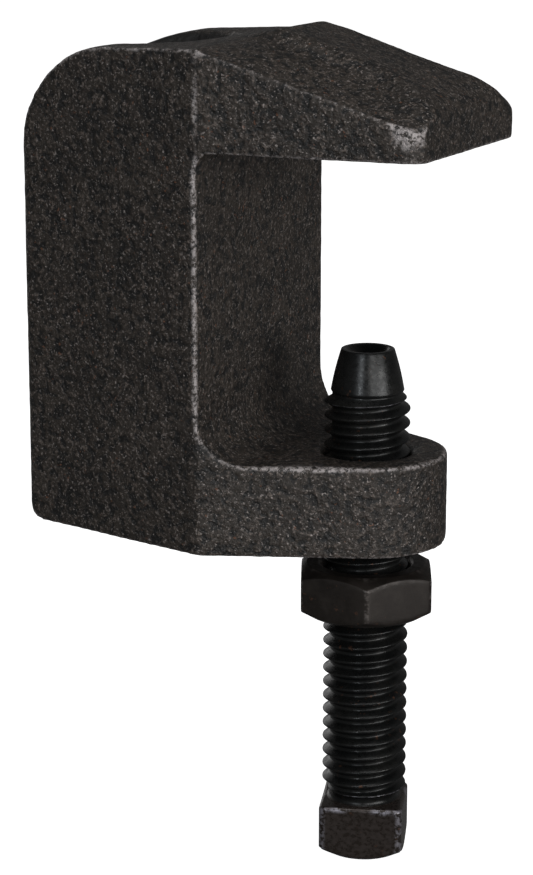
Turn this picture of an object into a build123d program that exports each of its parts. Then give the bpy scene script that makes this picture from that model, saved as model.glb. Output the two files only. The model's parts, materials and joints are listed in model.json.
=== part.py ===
"""Wide-mouth beam clamp for a 3/8-16 hanger rod.

A cast C-shaped body hooks over a beam flange.  A square-head, cup-point set screw comes up
through the lower jaw and bites the flange, and a hex jam nut locks it.

Frame: origin on the hanger-rod axis at the body's underside, +X from the spine to the jaw
tips, +Z up.  Millimetres.
"""
from build123d import *
from math import asin, cos, hypot, radians, sin, sqrt, tan
import os

os.makedirs("parts", exist_ok=True)

# ---- thread: 3/8-16 UNC, for the hanger rod and the set screw ----
PITCH = 25.4 / 16
MAJOR_RADIUS = 4.63
ROOT_RADIUS = 3.79
TAP_RADIUS = 3.97
RUNNING_CLEARANCE = 0.06
FLANK_SLOPE = tan(radians(30))

# ---- clamp body ----
SCREW_X = 25.0
BODY_HEIGHT = 53.5
LOWER_JAW_THICKNESS = 10.0
THROAT_OPENING = 32.8
BACK_X = -12.0
BACK_HALF_WIDTH = 10.2
WALL_X = 12.3
WALL_HALF_WIDTH = 15.1
BOSS_RADIUS = 8.7
TIP_X = 36.6
TIP_HALF_WIDTH = 12.5
TIP_CORNER_RADIUS = 2.3
TIP_HEIGHT = 3.5
NOSE_LENGTH = 1.2
BACK_TOP_RADIUS = 12.8
BACK_BOTTOM_RADIUS = 2.2
BACK_CORNER_RADIUS = 1.6
TOP_FALL = 1.0
LOWER_THROAT_RADIUS = 4.8
UPPER_THROAT_RADIUS = 1.8

# ---- crowned top with its central rib ----
EDGE_INSET = 0.8
CROWN_OVERLAP = 1.5
FLANK_RISE = 1.9
RIB_RISE = 3.2
RIB_HALF_WIDTH = 5.4
RIB_STEP_WIDTH = 1.6
# place along the body, share of the full rise, and how much wider the rib has grown
CROWN_STATIONS = (
    (7.0, 0.0, 0.0),
    (12.3, 0.15, 0.0),
    (17.0, 0.93, 0.0),
    (20.0, 1.0, 0.0),
    (29.0, 1.0, 0.0),
    (33.6, 0.9, 2.2),
    (35.4, 0.7, 3.2),
    (36.4, 0.4, 3.6),
)

# ---- mouths of the holes ----
DISH_RADIUS = 8.4
DISH_DEPTH = 4.95
MOUTH_CHAMFER = 0.6

# ---- set screw ----
TIP_Z = 21.0
SCREW_LENGTH = 50.8
POINT_RADIUS = 2.88
POINT_BASE_RADIUS = 3.95
POINT_HEIGHT = 4.5
CUP_RADIUS = 2.3
CUP_DEPTH = 1.3
HEAD_ACROSS_FLATS = 9.2
HEAD_HEIGHT = 6.0
HEAD_FLAT_RADIUS = 4.4
HEAD_ANGLE = 20.0
CREST_Z_AT_X_AXIS = 11.21
SEAM_ANGLE = 100.0

# ---- jam nut ----
NUT_ACROSS_FLATS = 14.1
NUT_HEIGHT = 5.56
NUT_TOP_Z = -2.7
NUT_ANGLE = -4.1
NUT_FACE_RADIUS = 6.5
NUT_MOUTH_CHAMFER = 0.5

UPPER_JAW_Z = LOWER_JAW_THICKNESS + THROAT_OPENING
UNDERHEAD_Z = TIP_Z - SCREW_LENGTH
CLEARANCE_RADIUS = MAJOR_RADIUS + RUNNING_CLEARANCE


def slab(points, thickness):
    """A side-view outline in X and Z, extruded both ways across the width."""
    outline = Plane.XZ * make_face(Polyline(*points, close=True))
    return extrude(outline, thickness / 2, both=True)


def half_width(x):
    """Half the body's width: growing from the back to the throat wall, then shrinking to the tip."""
    if x <= WALL_X:
        share = (x - BACK_X) / (WALL_X - BACK_X)
        return BACK_HALF_WIDTH + (WALL_HALF_WIDTH - BACK_HALF_WIDTH) * share
    share = (x - WALL_X) / (TIP_X - WALL_X)
    return WALL_HALF_WIDTH + (TIP_HALF_WIDTH - WALL_HALF_WIDTH) * share


def top_z(x):
    """Height of the top along its side edges: nearly level over the spine, then falling to the tip."""
    if x <= WALL_X:
        return BODY_HEIGHT - TOP_FALL * (WALL_X - x) / (WALL_X - BACK_X)
    brow_x = TIP_X - NOSE_LENGTH
    brow_z = UPPER_JAW_Z + TIP_HEIGHT
    return BODY_HEIGHT + (brow_z - BODY_HEIGHT) * (x - WALL_X) / (brow_x - WALL_X)


def side_profile():
    """The C outline in X and Z, with rounded spine corners and throat corners."""
    wide = 4 * WALL_HALF_WIDTH
    brow_x = TIP_X - NOSE_LENGTH
    outer = slab(
        [
            (BACK_X, 0),
            (TIP_X, 0),
            (TIP_X, UPPER_JAW_Z + TIP_HEIGHT - NOSE_LENGTH),
            (brow_x, top_z(brow_x)),
            (WALL_X, top_z(WALL_X)),
            (BACK_X, top_z(BACK_X)),
        ],
        wide,
    )
    back = outer.edges().filter_by(Axis.Y).group_by(Axis.X)[0].sort_by(Axis.Z)
    outer = fillet(back[-1], BACK_TOP_RADIUS)
    back = outer.edges().filter_by(Axis.Y).group_by(Axis.X)[0].sort_by(Axis.Z)
    outer = fillet(back[0], BACK_BOTTOM_RADIUS)
    throat = slab(
        [
            (WALL_X, LOWER_JAW_THICKNESS),
            (2 * TIP_X, LOWER_JAW_THICKNESS),
            (2 * TIP_X, UPPER_JAW_Z),
            (WALL_X, UPPER_JAW_Z),
        ],
        2 * wide,
    )
    inner = throat.edges().filter_by(Axis.Y).group_by(Axis.X)[0].sort_by(Axis.Z)
    throat = fillet(inner[0], LOWER_THROAT_RADIUS)
    inner = throat.edges().filter_by(Axis.Y).group_by(Axis.X)[0].sort_by(Axis.Z)
    throat = fillet(inner[-1], UPPER_THROAT_RADIUS)
    return outer - throat


def spine_plan():
    """Tapered block of the spine, seen from above, with rounded back corners."""
    block = make_face(
        Polyline(
            (BACK_X, -BACK_HALF_WIDTH),
            (WALL_X, -WALL_HALF_WIDTH),
            (WALL_X, WALL_HALF_WIDTH),
            (BACK_X, BACK_HALF_WIDTH),
            close=True,
        )
    )
    return fillet(block.vertices().group_by(Axis.X)[0], BACK_CORNER_RADIUS)


def lower_plan():
    """Spine plus a lower jaw whose sides run tangent to the round screw boss."""
    reach = hypot(SCREW_X - WALL_X, WALL_HALF_WIDTH)
    aim = asin(WALL_HALF_WIDTH / reach)
    turn = asin(BOSS_RADIUS / reach)
    lean = aim - turn
    touch_x = SCREW_X + BOSS_RADIUS * sin(lean)
    touch_y = BOSS_RADIUS * cos(lean)
    jaw = Polyline(
        (WALL_X, -WALL_HALF_WIDTH),
        (touch_x, -touch_y),
        (touch_x, touch_y),
        (WALL_X, WALL_HALF_WIDTH),
        close=True,
    )
    boss = Pos(SCREW_X, 0) * Circle(BOSS_RADIUS)
    return spine_plan() + make_face(jaw) + boss


def upper_plan():
    """Spine plus an upper jaw that narrows a little to its wide, round-cornered tip."""
    jaw = make_face(
        Polyline(
            (WALL_X, -WALL_HALF_WIDTH),
            (TIP_X, -TIP_HALF_WIDTH),
            (TIP_X, TIP_HALF_WIDTH),
            (WALL_X, WALL_HALF_WIDTH),
            close=True,
        )
    )
    jaw = fillet(jaw.vertices().group_by(Axis.X)[-1], TIP_CORNER_RADIUS)
    return spine_plan() + jaw


def crown():
    """Roof-like top: sloping flanks that rise to a flat central rib, lofted along the body."""
    sections = []
    for x, share, growth in CROWN_STATIONS:
        edge_y = half_width(x) - EDGE_INSET
        edge_z = top_z(x)
        left = [
            (-edge_y, edge_z),
            (-RIB_HALF_WIDTH - growth - RIB_STEP_WIDTH, edge_z + share * FLANK_RISE),
            (-RIB_HALF_WIDTH - growth, edge_z + share * RIB_RISE),
        ]
        right = [(-y, z) for y, z in reversed(left)]
        below = [(edge_y, edge_z - CROWN_OVERLAP), (-edge_y, edge_z - CROWN_OVERLAP)]
        points = [(x, y, z) for y, z in left + right + below]
        sections.append(make_face(Polyline(*points, close=True)))
    return loft(sections, ruled=True)


def mouth(radius, z, chamfer, opens_up):
    """Cone that chamfers a hole's mouth at height z."""
    if opens_up:
        return Pos(0, 0, z - chamfer / 2) * Cone(radius, radius + chamfer, chamfer)
    return Pos(0, 0, z + chamfer / 2) * Cone(radius + chamfer, radius, chamfer)


def rod_hole():
    """Through hole for the hanger rod, with a wide cored dish at the top."""
    dish_z = top_z(0) - DISH_DEPTH
    slope = (DISH_RADIUS - TAP_RADIUS) / DISH_DEPTH
    height = 2 * DISH_DEPTH
    dish = Pos(0, 0, dish_z + height / 2) * Cone(TAP_RADIUS, TAP_RADIUS + slope * height, height)
    return extrude(Circle(TAP_RADIUS), dish_z) + dish


def screw_hole():
    """Hole for the set screw through the lower jaw, chamfered at both mouths."""
    hole = extrude(Circle(CLEARANCE_RADIUS), LOWER_JAW_THICKNESS)
    hole += mouth(CLEARANCE_RADIUS, LOWER_JAW_THICKNESS, MOUTH_CHAMFER, True)
    hole += mouth(CLEARANCE_RADIUS, 0, MOUTH_CHAMFER, False)
    return Pos(SCREW_X, 0) * hole


def clamp_body():
    split = LOWER_JAW_THICKNESS + THROAT_OPENING / 2
    lower = extrude(lower_plan(), split)
    upper = Pos(0, 0, split) * extrude(upper_plan(), BODY_HEIGHT - split)
    body = (lower + upper) & side_profile()
    return body + crown() - rod_hole() - screw_hole()


def thread_ridge(start_z, end_z):
    """Helical ridge of a right-hand external thread, rooted just inside the core."""
    bite = 0.1
    height = MAJOR_RADIUS - ROOT_RADIUS + bite
    base_half = PITCH * 5 / 12 + bite * FLANK_SLOPE
    crest_half = base_half - height * FLANK_SLOPE
    helix = Pos(0, 0, start_z) * Helix(PITCH, end_z - start_z, ROOT_RADIUS - bite)
    outline = Polyline(
        (0, -base_half), (height, -crest_half), (height, crest_half), (0, base_half), close=True
    )
    section = Plane(origin=helix @ 0, x_dir=(1, 0, 0), z_dir=helix % 0) * make_face(outline)
    return sweep(section, path=helix, is_frenet=True)


def core():
    """Plain core of the screw: cup, cone point and root-diameter shank, turned about Z."""
    shoulder_z = TIP_Z - POINT_HEIGHT
    outline = Polyline(
        (0, UNDERHEAD_Z - HEAD_HEIGHT / 2),
        (ROOT_RADIUS, UNDERHEAD_Z - HEAD_HEIGHT / 2),
        (ROOT_RADIUS, shoulder_z - (POINT_BASE_RADIUS - ROOT_RADIUS)),
        (POINT_BASE_RADIUS, shoulder_z),
        (POINT_RADIUS, TIP_Z),
        (CUP_RADIUS, TIP_Z),
        (0, TIP_Z - CUP_DEPTH),
        close=True,
    )
    return Rot(0, 0, SEAM_ANGLE) * revolve(Plane.XZ * make_face(outline), Axis.Z)


def square_head():
    """Square wrench head with its end chamfered all round."""
    corner_radius = HEAD_ACROSS_FLATS / sqrt(2)
    block = extrude(Rot(0, 0, HEAD_ANGLE) * Rectangle(HEAD_ACROSS_FLATS, HEAD_ACROSS_FLATS), -HEAD_HEIGHT)
    drop = (corner_radius - HEAD_FLAT_RADIUS) * FLANK_SLOPE
    envelope = Polyline(
        (0, 0),
        (corner_radius + 1, 0),
        (corner_radius + 1, drop - HEAD_HEIGHT + FLANK_SLOPE),
        (HEAD_FLAT_RADIUS, -HEAD_HEIGHT),
        (0, -HEAD_HEIGHT),
        close=True,
    )
    head = block & revolve(Plane.XZ * make_face(envelope), Axis.Z)
    return Pos(0, 0, UNDERHEAD_Z) * head


def set_screw():
    turns = (CREST_Z_AT_X_AXIS - UNDERHEAD_Z - PITCH / 2) // PITCH
    thread_end = TIP_Z - POINT_HEIGHT - PITCH / 2
    thread = thread_ridge(CREST_Z_AT_X_AXIS - turns * PITCH, thread_end)
    return Pos(SCREW_X, 0) * (core() + thread + square_head())


def lock_nut():
    """Hex jam nut, chamfered on both faces, running clear on the screw's crests."""
    corner_radius = NUT_ACROSS_FLATS / sqrt(3)
    drop = (corner_radius + 1 - NUT_FACE_RADIUS) * FLANK_SLOPE
    outer = corner_radius + 1
    envelope = Polyline(
        (0, 0),
        (NUT_FACE_RADIUS, 0),
        (outer, -drop),
        (outer, drop - NUT_HEIGHT),
        (NUT_FACE_RADIUS, -NUT_HEIGHT),
        (0, -NUT_HEIGHT),
        close=True,
    )
    hexagon = extrude(Rot(0, 0, NUT_ANGLE) * RegularPolygon(corner_radius, 6), -NUT_HEIGHT)
    nut = hexagon & revolve(Plane.XZ * make_face(envelope), Axis.Z)
    nut -= extrude(Circle(CLEARANCE_RADIUS), -NUT_HEIGHT)
    nut -= mouth(CLEARANCE_RADIUS, 0, NUT_MOUTH_CHAMFER, True)
    nut -= mouth(CLEARANCE_RADIUS, -NUT_HEIGHT, NUT_MOUTH_CHAMFER, False)
    return Pos(SCREW_X, 0, NUT_TOP_Z) * nut


export_step(clamp_body(), "parts/clamp_body.step")
export_step(set_screw(), "parts/set_screw.step")
export_step(lock_nut(), "parts/lock_nut.step")
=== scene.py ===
"""Looks of the beam clamp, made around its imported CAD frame.

The casting, the set screw, the jam nut and the rod hole's thread are fine meshes that stand for
the CAD nodes.  Shapes are worked out in millimetres and become metres in mesh_object().
"""

import json
import math

import bmesh
import bpy
import numpy as np
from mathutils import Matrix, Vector, noise


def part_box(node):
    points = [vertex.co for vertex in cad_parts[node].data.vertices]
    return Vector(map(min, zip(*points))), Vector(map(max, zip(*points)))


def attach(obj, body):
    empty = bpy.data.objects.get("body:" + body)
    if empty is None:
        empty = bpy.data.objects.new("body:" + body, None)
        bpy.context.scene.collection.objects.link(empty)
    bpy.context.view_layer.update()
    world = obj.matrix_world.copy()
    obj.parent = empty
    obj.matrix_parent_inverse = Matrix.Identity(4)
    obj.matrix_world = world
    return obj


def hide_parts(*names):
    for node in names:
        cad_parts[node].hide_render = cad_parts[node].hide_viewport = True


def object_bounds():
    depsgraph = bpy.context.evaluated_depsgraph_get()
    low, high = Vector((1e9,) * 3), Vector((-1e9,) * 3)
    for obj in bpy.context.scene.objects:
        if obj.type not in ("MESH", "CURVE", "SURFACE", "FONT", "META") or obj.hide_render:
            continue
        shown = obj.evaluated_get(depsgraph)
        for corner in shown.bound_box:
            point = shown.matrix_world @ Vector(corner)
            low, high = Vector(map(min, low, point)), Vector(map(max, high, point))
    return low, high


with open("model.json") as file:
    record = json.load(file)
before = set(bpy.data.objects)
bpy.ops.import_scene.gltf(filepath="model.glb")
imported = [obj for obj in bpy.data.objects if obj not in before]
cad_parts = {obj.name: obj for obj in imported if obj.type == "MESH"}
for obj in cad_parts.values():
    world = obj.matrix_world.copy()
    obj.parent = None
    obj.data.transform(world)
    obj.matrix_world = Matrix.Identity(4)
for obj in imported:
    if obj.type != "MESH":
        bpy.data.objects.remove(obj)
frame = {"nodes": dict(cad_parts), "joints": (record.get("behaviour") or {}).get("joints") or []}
cad_box = [list(corner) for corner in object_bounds()]

MM = 0.001


def box_mm(node):
    """Lowest and highest corner of a CAD node, in millimetres."""
    low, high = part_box(node)
    return np.array(low) / MM, np.array(high) / MM


BODY_HIGH = box_mm("clamp_body")[1]
SCREW_LOW, SCREW_HIGH = box_mm("set_screw")
NUT_LOW, NUT_HIGH = box_mm("lock_nut")
SCREW_X = frame["joints"][0]["pos_m"][0] / MM

# ---- thread: 3/8-16 ----
PITCH = 25.4 / 16
CREST_RADIUS = 4.63
ROOT_RADIUS = 3.79
CREST_HALF = 1 / 16
FLANK_END = 0.386
ROWS = 20
COLUMNS = 160
SIDE_ROWS = 16

# ---- set screw ----
TIP_Z = SCREW_HIGH[2]
UNDERHEAD_Z = TIP_Z - 50.8
CREST_Z = 11.21
POINT_HEIGHT = 4.5
POINT_RADIUS = 2.88
POINT_BASE_RADIUS = 3.95
CUP_RADIUS = 2.3
CUP_DEPTH = 1.3
NECK_LENGTH = 0.9
HEAD_APOTHEM = 9.2 / 2
HEAD_CORNER = 0.75
HEAD_FLAT_RADIUS = 4.4
HEAD_TURN = math.radians(20)
HEAD_END_ROUND = 0.3
HEAD_TOP_ROUND = 0.45
NECK_FILLET = 0.45
RUN_IN = 0.35
RUN_IN_SLOPE = 1.1
RUNOUT_SLOPE = 1.4
POINT_BELLY = 0.08

# ---- jam nut ----
NUT_APOTHEM = 14.1 / 2
NUT_CORNER = 0.35
NUT_FACE_RADIUS = 6.5
NUT_BORE = 4.69
NUT_MOUTH = 5.19
NUT_MOUTH_DEPTH = 0.5
NUT_EDGE_ROUND = 0.12
NUT_TURN = math.radians(-4.1)
CHAMFER_SLOPE = math.tan(math.radians(30))

# ---- hanger-rod thread in the casting ----
ROD_CREST = 3.97
ROD_ROOT = 4.76
ROD_MOUTH = 4.95
ROD_OUTER = 5.6
ROD_LOW = 0.7
ROD_HIGH = 47.7

# ---- casting ----
VOXEL = 0.28
CASTING_ROUNDS = 5
WEAR_ROUNDS = 10
WEAR_FULL = 0.16
SKIN_DEPTH = 0.11
RUNNING_BORE = 4.71
DISH_RADIUS = 8.4
WALL_X = 12.3
WALL_HALF_WIDTH = 15.1
TIP_END_X = 33
LOWER_JAW_TOP = 10.0
THROAT_TOP = 42.8
# painted shade in the dish: the height where it fades out below, and its fade at the dish's rim, in
# millimetres
PAINTED_SHADE_LOW_Z = 40
PAINTED_SHADE_FADE = 0.5

# how much extra wear, and its place and reach in millimetres; each is on both sides
WORN_PLACES = (
    (0.75, (34.5, 12.3, 45.5), (1.9, 1.6, 1.5)),
    (0.55, (WALL_X, WALL_HALF_WIDTH, 48.0), (0.5, 1.0, 4.2)),
    (0.4, (23.0, 10.0, LOWER_JAW_TOP), (5.0, 3.5, 0.7)),
)

# ---- wear of the turned and forged pieces ----
STEEL_WEAR_ROUNDS = 3
STEEL_WEAR_FULL = 0.05


# ================= meshes =================

def normals_of(mesh):
    values = np.zeros(len(mesh.vertices) * 3, np.float32)
    mesh.vertices.foreach_get("normal", values)
    return values.reshape(-1, 3).astype(float)


def points_of(mesh):
    values = np.zeros(len(mesh.vertices) * 3, np.float32)
    mesh.vertices.foreach_get("co", values)
    return values.reshape(-1, 3).astype(float)


def edges_of(mesh):
    values = np.zeros(len(mesh.edges) * 2, np.int32)
    mesh.edges.foreach_get("vertices", values)
    return values.reshape(-1, 2)


def set_points(mesh, points):
    mesh.vertices.foreach_set("co", points.astype(np.float32).ravel())
    mesh.update()


def relax(points, edges, rounds, strength=0.5):
    """Laplacian smoothing: each point moves towards the mean of its neighbours."""
    a, b = edges.T
    count = np.bincount(edges.ravel(), minlength=len(points))
    for _ in range(rounds):
        sums = [
            np.bincount(a, points[b, k], len(points)) + np.bincount(b, points[a, k], len(points))
            for k in range(3)
        ]
        mean = np.stack([total / count for total in sums], 1)
        points = points + strength * (mean - points)
    return points


def attribute(mesh, name, values):
    made = mesh.attributes.new(name, "FLOAT", "POINT")
    made.data.foreach_set("value", values.astype(np.float32))


def record_wear(mesh, points, rounds, full, share=1.0, added=0.0):
    """Stores how far each point stands out on an edge, 1 where it stands out by full millimetres or more.

    The share and the added wear may be one value or one per point.
    """
    flat = relax(points, edges_of(mesh), rounds)
    bulge = ((points - flat) * normals_of(mesh)).sum(1)
    attribute(mesh, "edge_wear", np.clip(bulge / full * share + added, 0, 1))


def spot(points, center, size):
    """1 at a place on either side of the object, falling to 0 over size millimetres along x, y and z."""
    away = np.stack([points[:, 0], np.abs(points[:, 1]), points[:, 2]], 1) - center
    return np.exp(-((away / size) ** 2).sum(1))


def mesh_object(name, points, faces, wear=None):
    """A smooth-shaded object from points in millimetres, with doubled and loose points removed.

    wear gives, for points in millimetres, their share of the usual edge wear and their extra wear.
    """
    mesh = bpy.data.meshes.new(name)
    mesh.from_pydata([tuple(p) for p in np.asarray(points) * MM], [], faces)
    bm = bmesh.new()
    bm.from_mesh(mesh)
    bmesh.ops.remove_doubles(bm, verts=bm.verts, dist=1e-6)
    bmesh.ops.dissolve_degenerate(bm, edges=bm.edges, dist=1e-7)
    bmesh.ops.delete(bm, geom=[v for v in bm.verts if not v.link_faces], context="VERTS")
    bmesh.ops.recalc_face_normals(bm, faces=bm.faces)
    bm.to_mesh(mesh)
    bm.free()
    mesh.polygons.foreach_set("use_smooth", [True] * len(mesh.polygons))
    points = points_of(mesh) / MM
    record_wear(mesh, points, STEEL_WEAR_ROUNDS, STEEL_WEAR_FULL, *(wear(points) if wear else ()))
    obj = bpy.data.objects.new(name, mesh)
    bpy.context.scene.collection.objects.link(obj)
    return obj


def joined(parts):
    """Several (points, faces) pairs as one."""
    points, faces = [], []
    for part_points, part_faces in parts:
        start = sum(len(p) for p in points)
        points.append(part_points)
        faces += [tuple(start + i for i in face) for face in part_faces]
    return np.concatenate(points), faces


def around():
    """The angle of each column of a turned surface."""
    return 2 * np.pi * np.arange(COLUMNS) / COLUMNS


def skin(rings):
    """Points and faces of a surface through closed rings of (radius, z), one value or one per column."""
    angle = around()
    points = []
    for radius, z in rings:
        radius = np.broadcast_to(radius, COLUMNS)
        z = np.broadcast_to(z, COLUMNS)
        points.append(np.stack([radius * np.cos(angle), radius * np.sin(angle), z], 1))
    faces = []
    for i in range(len(rings) - 1):
        for j in range(COLUMNS):
            k = (j + 1) % COLUMNS
            faces.append((i * COLUMNS + j, i * COLUMNS + k, (i + 1) * COLUMNS + k, (i + 1) * COLUMNS + j))
    return np.concatenate(points), faces


def thread_height(share):
    """Height of the 60-degree thread, 0 at the root and 1 at the crest, a share of a pitch above a crest."""
    height = 0
    for shift, weight in ((-0.04, 0.25), (0, 0.5), (0.04, 0.25)):
        away = np.abs((share + shift + 0.5) % 1 - 0.5)
        height = height + weight * np.clip((FLANK_END - away) / (FLANK_END - CREST_HALF), 0, 1)
    return height


def thread_tube(crest_z, low, high, radius_at):
    """A threaded tube whose rows follow a right-hand helix, cut off level at low and high."""
    first = math.floor((low - crest_z) / PITCH) - 1
    rows = (math.ceil((high - low) / PITCH) + 3) * ROWS
    share = first + np.arange(rows + ROWS + 1)[:, None] / ROWS
    turn = np.arange(COLUMNS)[None, :] / COLUMNS
    z = np.clip(crest_z + PITCH * (share + turn), low, high)
    radius = radius_at(share + 0 * turn, z)
    angle = 2 * np.pi * turn
    points = np.stack([radius * np.cos(angle), radius * np.sin(angle), z], 2).reshape(-1, 3)
    faces = []
    for i in range(rows):
        for j in range(COLUMNS):
            near = i * COLUMNS + j
            far = near + 1 if j + 1 < COLUMNS else (i + ROWS) * COLUMNS
            corners = (near, far, far + COLUMNS, near + COLUMNS)
            if len({round(points[c][2], 6) for c in corners}) > 1:
                faces.append(corners)
    return points, faces


def polygon_radius(sides, apothem, corner, turn):
    """Radius, by column, of a regular polygon with rounded corners and a face turned to an angle."""
    half = np.pi / sides
    phi = (around() - turn + half) % (2 * half) - half
    reach = (apothem - corner) / math.cos(half)
    delta = half - np.abs(phi)
    arc = reach * np.cos(delta) + np.sqrt(np.maximum(corner**2 - (reach * np.sin(delta)) ** 2, 0))
    on_arc = apothem * np.tan(np.abs(phi)) > (apothem - corner) * math.tan(half)
    return np.where(on_arc, arc, apothem / np.cos(phi))


def rounded_side(radius, low, high, low_round, high_round, steps=6):
    """Rings of an upright wall with rounded lower and upper edges, from low to high."""
    rings = []
    for i in range(steps + 1):
        a = math.pi / 2 * i / steps
        rings.append((radius - low_round * (1 - math.sin(a)), low + low_round * (1 - math.cos(a))))
    bottom, top = low + low_round, high - high_round
    for i in range(1, SIDE_ROWS):
        rings.append((radius, bottom + (top - bottom) * i / SIDE_ROWS))
    for i in range(steps + 1):
        a = math.pi / 2 * i / steps
        rings.append((radius - high_round * (1 - math.cos(a)), high - high_round * (1 - math.sin(a))))
    return rings


# ================= set screw =================

def screw_radius(share, z):
    """Thread radius, chamfered where the thread starts and where it runs out at the neck."""
    full = ROOT_RADIUS + (CREST_RADIUS - ROOT_RADIUS) * thread_height(share)
    start = ROOT_RADIUS + (TIP_Z - POINT_HEIGHT - RUN_IN - z) * RUN_IN_SLOPE
    runout = ROOT_RADIUS + (z - UNDERHEAD_Z - NECK_LENGTH) * RUNOUT_SLOPE
    return np.minimum(full, np.maximum(np.minimum(start, runout), ROOT_RADIUS))


def point_rings():
    """Cone point with a crisp rim and a shallow cup."""
    base = TIP_Z - POINT_HEIGHT
    rings = [(ROOT_RADIUS, base - RUN_IN), (ROOT_RADIUS, base - 0.12)]
    rings.append((POINT_BASE_RADIUS - 0.03, base - 0.02))
    steps = 24
    for i in range(steps + 1):
        share = i / steps
        belly = POINT_BELLY * math.sin(math.pi * share)
        radius = POINT_BASE_RADIUS + (POINT_RADIUS - POINT_BASE_RADIUS) * share + belly
        rings.append((radius, base + 0.05 + (POINT_HEIGHT - 0.13) * share))
    rings += [(POINT_RADIUS - 0.03, TIP_Z - 0.03), (POINT_RADIUS - 0.1, TIP_Z), (CUP_RADIUS + 0.1, TIP_Z)]
    for i in range(9):
        share = i / 8
        rings.append((CUP_RADIUS * (1 - share), TIP_Z - 0.04 - CUP_DEPTH * math.sin(math.pi / 2 * share)))
    return rings


def head_rings():
    """Square head: flat bearing face, rounded edges, and a conical chamfer round its free end."""
    low = SCREW_LOW[2]
    side = polygon_radius(4, HEAD_APOTHEM, HEAD_CORNER, HEAD_TURN)
    chamfer_z = low + np.maximum(side - HEAD_FLAT_RADIUS, 0) * CHAMFER_SLOPE
    rings = [(0, low)] + [(HEAD_FLAT_RADIUS * i / 6, low) for i in range(1, 6)]
    rings += [(HEAD_FLAT_RADIUS - 0.15, low), (HEAD_FLAT_RADIUS, low + 0.02)]
    inner = np.maximum(side - HEAD_END_ROUND, HEAD_FLAT_RADIUS)
    rings.append((inner, low + (inner - HEAD_FLAT_RADIUS) * CHAMFER_SLOPE + 0.02))
    for radius, z in rounded_side(side, 0, UNDERHEAD_Z - low, HEAD_END_ROUND, HEAD_TOP_ROUND):
        share = np.clip(z / (UNDERHEAD_Z - low), 0, 1)
        rings.append((radius, chamfer_z + (UNDERHEAD_Z - chamfer_z) * share))
    for share in (0.15, 0.4, 0.7):
        outer = side - HEAD_TOP_ROUND
        rings.append((outer + (ROOT_RADIUS + 0.5 - outer) * share, UNDERHEAD_Z))
    for i in range(5):
        a = math.pi / 2 * i / 4
        radius = ROOT_RADIUS + NECK_FILLET * (1 - math.sin(a))
        rings.append((radius, UNDERHEAD_Z + NECK_FILLET * (1 - math.cos(a))))
    rings.append((ROOT_RADIUS, UNDERHEAD_Z + NECK_LENGTH))
    return rings


def screw_wear(points):
    """The wrench rubs the head bright; the thread stays dark but for its crests."""
    share = np.where(points[:, 2] < UNDERHEAD_Z + 0.5, 1.0, 0.55)
    brow_z = UNDERHEAD_Z - 0.35
    added = 0.7 * spot(points, (28.8, 3.5, brow_z), (1.3, 0.9, 0.45))
    added += 0.7 * spot(points, (24.2, 5.1, brow_z), (1.2, 0.9, 0.40))
    return share, added


def nut_wear(points):
    """The nut's edges are hardly rubbed."""
    return 0.5, 0.35 * spot(points, (30.0, 6.4, NUT_HIGH[2] - 1.0), (0.9, 0.9, 0.5))


def set_screw():
    thread_low, thread_high = UNDERHEAD_Z + NECK_LENGTH, TIP_Z - POINT_HEIGHT - RUN_IN
    thread = thread_tube(CREST_Z, thread_low, thread_high, screw_radius)
    points, faces = joined([skin(head_rings()), thread, skin(point_rings())])
    screw = mesh_object("square_head_set_screw", points + [SCREW_X, 0, 0], faces, screw_wear)
    attribute(screw.data, "forged", points_of(screw.data)[:, 2] / MM < UNDERHEAD_Z + 0.1)
    return screw


# ================= jam nut =================

def jam_nut():
    """Hex nut: rounded corners, 30-degree chamfers on both faces and a countersunk bore."""
    low, high = NUT_LOW[2], NUT_HIGH[2]
    side = polygon_radius(6, NUT_APOTHEM, NUT_CORNER, NUT_TURN + math.pi / 6)
    cut = np.maximum(side - NUT_FACE_RADIUS, 0) * CHAMFER_SLOPE
    rings = [(NUT_BORE, low + NUT_MOUTH_DEPTH), (NUT_MOUTH - 0.04, low + 0.03), (NUT_MOUTH + 0.05, low)]
    rings += [(NUT_MOUTH + (NUT_FACE_RADIUS - NUT_MOUTH) * i / 6, low) for i in range(1, 6)]
    rings += [(NUT_FACE_RADIUS - 0.1, low), (NUT_FACE_RADIUS, low + 0.03)]
    for radius, z in rounded_side(side, 0, 1, NUT_EDGE_ROUND, NUT_EDGE_ROUND):
        rings.append((radius, low + cut + (high - low - 2 * cut) * z))
    rings += [(NUT_FACE_RADIUS, high - 0.03), (NUT_FACE_RADIUS - 0.1, high)]
    rings += [(NUT_FACE_RADIUS + (NUT_MOUTH - NUT_FACE_RADIUS) * i / 6, high) for i in range(1, 6)]
    rings += [(NUT_MOUTH + 0.05, high), (NUT_MOUTH - 0.04, high - 0.03), (NUT_BORE, high - NUT_MOUTH_DEPTH)]
    rings.append((NUT_BORE, low + NUT_MOUTH_DEPTH))
    points, faces = skin(rings)
    return mesh_object("hex_jam_nut", points + [SCREW_X, 0, 0], faces, nut_wear)


# ================= rod-hole thread =================

def rod_radius(share, z):
    """Internal thread, opened out by a countersink at both ends."""
    full = ROD_ROOT - (ROD_ROOT - ROD_CREST) * thread_height(share)
    mouth = ROD_MOUTH - np.minimum(z - ROD_LOW, ROD_HIGH - z) * 1.0
    return np.maximum(full, mouth)


def rod_thread():
    tube = thread_tube(0, ROD_LOW, ROD_HIGH, rod_radius)
    sleeve = skin([(ROD_MOUTH, ROD_LOW), (ROD_OUTER, ROD_LOW), (ROD_OUTER, ROD_HIGH), (ROD_MOUTH, ROD_HIGH)])
    points, faces = joined([tube, sleeve])
    return mesh_object("rod_hole_thread", points, faces)


# ================= casting =================

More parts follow.
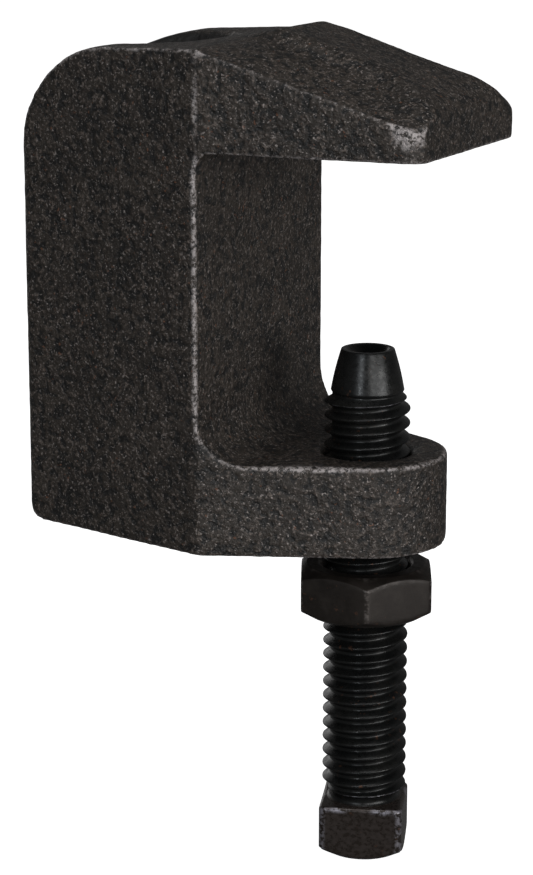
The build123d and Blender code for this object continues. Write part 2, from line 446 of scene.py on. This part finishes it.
def remeshed(obj, voxel):
    """The object's mesh, rebuilt as even quads."""
    modifier = obj.modifiers.new("remesh", "REMESH")
    modifier.mode = "VOXEL"
    modifier.voxel_size = voxel * MM
    modifier.use_smooth_shade = True
    graph = bpy.context.evaluated_depsgraph_get()
    mesh = bpy.data.meshes.new_from_object(obj.evaluated_get(graph))
    obj.modifiers.clear()
    return mesh


def bored_copy():
    """The CAD body with its rod hole opened out to take the threaded sleeve."""
    source = frame["nodes"]["clamp_body"].data
    bm = bmesh.new()
    bm.from_mesh(source)
    bmesh.ops.remove_doubles(bm, verts=bm.verts, dist=1e-6)
    for vertex in bm.verts:
        reach = math.hypot(vertex.co.x, vertex.co.y)
        if abs(reach / MM - ROD_CREST) < 0.05 and vertex.co.z / MM < BODY_HIGH[2] - 2:
            vertex.co.x *= ROD_MOUTH * MM / reach
            vertex.co.y *= ROD_MOUTH * MM / reach
    mesh = bpy.data.meshes.new("bored")
    bm.to_mesh(mesh)
    bm.free()
    obj = bpy.data.objects.new("bored", mesh)
    bpy.context.scene.collection.objects.link(obj)
    return obj


def painted_dish_shade(points):
    """Painted shade: 1 inside the dish and the top of the rod hole, fading to 0 at the dish's rim and lower
    down.
    """
    reach = np.hypot(points[:, 0], points[:, 1])
    within = np.clip((DISH_RADIUS + 0.1 - reach) / PAINTED_SHADE_FADE, 0, 1)
    return within * np.clip((points[:, 2] - PAINTED_SHADE_LOW_Z) / 2, 0, 1)


def cast_grain(point):
    """Depth of the sand-cast skin's hollows at a point in millimetres, from 0 to about 1."""
    wave = 0.5 + 0.5 * noise.noise(Vector(point) / 7.0)
    grain = 0.5 + 0.5 * noise.noise(Vector(point) / 0.85 + Vector((9, 4, 2)))
    return 0.45 * wave + 0.55 * grain


def casting_wear(points):
    """Share of the usual edge wear, and extra wear, at points of the casting."""
    x, z = points[:, 0], points[:, 2]
    along_jaw = (z > THROAT_TOP + 2) & (x > WALL_X + 1) & (x < TIP_END_X)
    low_corner = (z < LOWER_JAW_TOP - 2) & (np.abs(x - WALL_X) < 2)
    share = np.where(low_corner, 0.7, np.where(along_jaw, 0.75, 1.0))
    added = sum(amount * spot(points, place, reach) for amount, place, reach in WORN_PLACES)
    return share, added


def clamp_casting():
    """The body as a rough casting with softened edges, and how worn each point of it is."""
    block = bored_copy()
    mesh = remeshed(block, VOXEL)
    bpy.data.objects.remove(block)
    edges = edges_of(mesh)
    points = relax(points_of(mesh) / MM, edges, CASTING_ROUNDS)
    set_points(mesh, points * MM)
    normals = normals_of(mesh)
    depth = np.array([cast_grain(p) for p in points])
    points -= normals * (SKIN_DEPTH * depth)[:, None]
    reach = np.hypot(points[:, 0] - SCREW_X, points[:, 1])
    tight = (reach < RUNNING_BORE) & (points[:, 2] < LOWER_JAW_TOP + 2)
    grow = np.where(tight, RUNNING_BORE / np.maximum(reach, 1), 1)
    points[:, 0] = SCREW_X + (points[:, 0] - SCREW_X) * grow
    points[:, 1] *= grow
    set_points(mesh, points * MM)
    record_wear(mesh, points, WEAR_ROUNDS, WEAR_FULL, *casting_wear(points))
    # painted shade for the dish and the top of the rod hole
    attribute(mesh, "painted_dish_shade", painted_dish_shade(points))
    mesh.name = "clamp_casting"
    obj = bpy.data.objects.new("clamp_casting", mesh)
    bpy.context.scene.collection.objects.link(obj)
    return obj


# ================= materials =================

class Shader:
    """A Principled material with short calls for its nodes."""

    def __init__(self, name):
        self.material = bpy.data.materials.new(name)
        self.material.use_nodes = True
        self.tree = self.material.node_tree
        self.surface = self.tree.nodes["Principled BSDF"]
        self.place = self.node("TexCoord").outputs["Object"]

    def node(self, kind, inputs=None, **settings):
        made = self.tree.nodes.new("ShaderNode" + kind)
        for key, value in settings.items():
            setattr(made, key, value)
        for key, value in (inputs or {}).items():
            self.put(made.inputs[key], value)
        return made

    def put(self, socket, value):
        if isinstance(value, bpy.types.NodeSocket):
            self.tree.links.new(value, socket)
        else:
            socket.default_value = value

    def set(self, name, value):
        self.put(self.surface.inputs[name], value)

    def noise(self, size_mm, detail=3.0, roughness=0.55, stretch=(1, 1, 1), offset=(0, 0, 0)):
        """Noise value with features about size_mm across."""
        scale = [1 / (size_mm * MM * s) for s in stretch]
        mapped = self.node("Mapping", {"Vector": self.place, "Scale": scale, "Location": offset})
        inputs = {"Vector": mapped.outputs[0], "Scale": 1.0, "Detail": detail, "Roughness": roughness}
        return self.node("TexNoise", inputs).outputs["Fac"]

    def ramp(self, value, low, high, to_low=0.0, to_high=1.0):
        made = self.node(
            "MapRange",
            {"Value": value, "From Min": low, "From Max": high, "To Min": to_low, "To Max": to_high},
            interpolation_type="SMOOTHSTEP",
        )
        return made.outputs[0]

    def math(self, operation, a, b=0.0):
        made = self.node("Math", {0: a, 1: b}, operation=operation)
        return made.outputs[0]

    def attribute(self, name):
        return self.node("Attribute", attribute_name=name).outputs["Fac"]

    def colour(self, factor, low, high):
        """Colour mixed from low to high by factor."""
        made = self.node("Mix", data_type="RGBA")
        self.put(made.inputs["Factor"], factor)
        for socket, value in ((made.inputs[6], low), (made.inputs[7], high)):
            self.put(socket, value if isinstance(value, bpy.types.NodeSocket) else (*value, 1))
        return made.outputs[2]

    def bump(self, height, strength, distance_mm, below=None):
        inputs = {"Height": height, "Strength": strength, "Distance": distance_mm * MM}
        if below is not None:
            inputs["Normal"] = below
        return self.node("Bump", inputs).outputs[0]


def cast_iron():
    """Dark sand-cast iron: gritty skin, painted glints on the grains, rust specks, edges rubbed bright, and
    painted shade in the dish.
    """
    s = Shader("cast_iron_sand_cast")
    tone = s.noise(6.0, 4.0, 0.6)
    grain = s.noise(0.42, 4.0, 0.65)
    lumps = s.noise(0.9, 2.0, 0.5)
    base = s.colour(s.ramp(tone, 0.35, 0.65), (0.0150, 0.0112, 0.0082), (0.029, 0.0222, 0.0168))
    pits = s.ramp(lumps, 0.40, 0.50)
    base = s.colour(pits, (0.0045, 0.0038, 0.0032), base)
    base = s.colour(s.math("MULTIPLY", s.ramp(grain, 0.52, 0.68), pits), base, (0.125, 0.100, 0.085))
    speck = s.math("MULTIPLY", s.ramp(s.noise(0.5, 2.0), 0.66, 0.70), s.ramp(s.noise(2.6, 2.0), 0.50, 0.60))
    base = s.colour(speck, base, (0.13, 0.058, 0.032))
    # painted highlight: light specks in the base colour stand in for grains catching the light; the same
    # mask also raises metallic
    painted_glint = s.ramp(s.noise(0.27, 2.0, 0.6, offset=(5, 5, 5)), 0.60, 0.70)
    base = s.colour(s.math("MULTIPLY", painted_glint, 0.85), base, (0.34, 0.30, 0.28))
    broken = s.ramp(s.noise(0.5, 4.0, 0.75), 0.42, 0.58)
    edge = s.ramp(s.attribute("edge_wear"), 0.30, 0.80)
    wear = s.math("MULTIPLY", edge, broken)
    # painted shade: the dish and the top of the rod hole are painted near black
    base = s.colour(s.attribute("painted_dish_shade"), base, (0.0035, 0.0030, 0.0026))
    base = s.colour(wear, base, (0.46, 0.42, 0.41))
    s.set("Base Color", base)
    s.set("Roughness", s.ramp(grain, 0.3, 0.7, 0.60, 0.36))
    s.set("Metallic", s.math("MULTIPLY", s.math("MAXIMUM", wear, painted_glint), 0.5))
    normal = s.bump(lumps, 0.8, 0.4)
    s.set("Normal", s.bump(grain, 1.0, 0.24, normal))
    return s.material


def turned_steel(name, base, tint, roughness, scuff, forged=False):
    """Blackened steel: oily tone changes, fine scratches, and scuffs that show the metal.

    With forged, the part marked by that attribute is duller and browner.
    """
    s = Shader(name)
    tone = s.noise(3.0, 4.0, 0.6)
    scratch = s.noise(0.5, 4.0, 0.65, stretch=(1, 1, 0.8))
    grit = s.noise(0.25, 2.0)
    colour = s.colour(s.ramp(tone, 0.4, 0.7), base, tint)
    rub = s.math("MULTIPLY", s.ramp(s.attribute("edge_wear"), 0.25, 0.85), s.ramp(scratch, 0.42, 0.58))
    colour = s.colour(rub, colour, scuff)
    rust = s.math("MULTIPLY", s.ramp(s.noise(0.6, 3.0), 0.62, 0.70), s.ramp(s.noise(4.0, 2.0), 0.52, 0.6))
    colour = s.colour(rust, colour, (0.09, 0.045, 0.028))
    if forged:
        head = s.colour(s.ramp(scratch, 0.40, 0.62), (0.030, 0.0235, 0.0195), (0.050, 0.040, 0.036))
        head = s.colour(rub, s.colour(rust, head, (0.11, 0.055, 0.032)), scuff)
        colour = s.colour(s.attribute("forged"), colour, head)
    s.set("Base Color", colour)
    s.set("Metallic", 0.5)
    s.set("Roughness", s.ramp(scratch, 0.3, 0.7, roughness - 0.06, roughness + 0.12))
    s.set("Normal", s.bump(grit, 0.25, 0.03, s.bump(scratch, 0.2, 0.04)))
    return s.material


def plain(name, colour, roughness):
    material = bpy.data.materials.new(name)
    material.use_nodes = True
    surface = material.node_tree.nodes["Principled BSDF"]
    surface.inputs["Base Color"].default_value = (*colour, 1)
    surface.inputs["Roughness"].default_value = roughness
    return material


# ================= studio, in metres =================

AIM = Vector((12.8, 0, 9.75)) * MM
DISTANCE = 0.2857
AZIMUTH = math.radians(27.36)
ELEVATION = math.radians(14.1)
LENS = 106.97
FLOOR_SIZE = 8
FLOOR_GAP = 0.0002


def towards(azimuth, elevation):
    """Direction to a viewer: azimuth 0 stands at -Y and turns towards +X."""
    flat = math.cos(elevation)
    return Vector((math.sin(azimuth) * flat, -math.cos(azimuth) * flat, math.sin(elevation)))


def looking(place, target):
    return (Vector(target) - Vector(place)).to_track_quat("-Z", "Y")


def camera():
    data = bpy.data.cameras.new("camera")
    data.lens = LENS
    data.sensor_width = 36
    data.clip_start = 0.01
    data.clip_end = 20
    obj = bpy.data.objects.new("camera", data)
    obj.location = AIM + DISTANCE * towards(AZIMUTH, ELEVATION)
    obj.rotation_mode = "QUATERNION"
    obj.rotation_quaternion = looking(obj.location, AIM)
    bpy.context.scene.collection.objects.link(obj)
    bpy.context.scene.camera = obj


def softbox(name, azimuth, elevation, distance, size, power, colour=(1, 1, 1)):
    data = bpy.data.lights.new(name, "AREA")
    data.shape = "RECTANGLE"
    data.size, data.size_y = size
    data.energy = power
    data.color = colour
    obj = bpy.data.objects.new(name, data)
    obj.location = AIM + distance * towards(math.radians(azimuth), math.radians(elevation))
    obj.rotation_mode = "QUATERNION"
    obj.rotation_quaternion = looking(obj.location, AIM)
    bpy.context.scene.collection.objects.link(obj)


def studio():
    low = cad_box[0][2]
    place = (0, 0, low - FLOOR_GAP)
    bpy.ops.mesh.primitive_grid_add(x_subdivisions=2, y_subdivisions=2, size=FLOOR_SIZE, location=place)
    floor = bpy.context.object
    floor.name = "floor"
    material = plain("floor_white", (0.9, 0.9, 0.9), 0.9)
    surface = material.node_tree.nodes["Principled BSDF"]
    surface.inputs["Emission Color"].default_value = (1, 1, 1, 1)
    surface.inputs["Emission Strength"].default_value = 0.95
    surface.inputs["Specular IOR Level"].default_value = 0
    floor.data.materials.append(material)
    floor.visible_diffuse = False
    floor.visible_glossy = False
    world = bpy.data.worlds.new("studio")
    world.use_nodes = True
    world.node_tree.nodes["Background"].inputs[0].default_value = (1, 1, 1, 1)
    world.node_tree.nodes["Background"].inputs[1].default_value = 0.10
    bpy.context.scene.world = world
    softbox("key_right", 74, 2, 0.6, (0.3, 0.3), 1.7)
    softbox("key_front", 45, 12, 0.6, (0.25, 0.3), 0.8)
    softbox("strip_front", 2, 16, 0.6, (0.03, 0.25), 0.7, (0.9, 0.95, 1.0))
    softbox("top", 30, 70, 0.6, (0.3, 0.3), 0.8)
    softbox("back_fill", 235, 8, 0.8, (0.5, 0.4), 0.5)
    bpy.context.scene.view_settings.view_transform = "Standard"


# ================= assembly =================

def finished(obj, body, node, material):
    """Puts a piece's material on, hands the piece to its body and hides the CAD node it stands for."""
    obj.data.materials.clear()
    obj.data.materials.append(material)
    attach(obj, body)
    if node:
        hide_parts(node)


iron = cast_iron()
finished(clamp_casting(), "body", "clamp_body", iron)
finished(rod_thread(), "body", None, iron)
finished(
    set_screw(),
    "screw",
    "set_screw",
    turned_steel(
        "black_oxide_oiled",
        base=(0.010, 0.0105, 0.0105),
        tint=(0.018, 0.018, 0.017),
        roughness=0.28,
        scuff=(0.26, 0.25, 0.28),
        forged=True,
    ),
)
finished(
    jam_nut(),
    "nut",
    "lock_nut",
    turned_steel(
        "black_oxide_satin",
        base=(0.020, 0.016, 0.0135),
        tint=(0.034, 0.028, 0.024),
        roughness=0.40,
        scuff=(0.16, 0.14, 0.13),
    ),
)
camera()
studio()
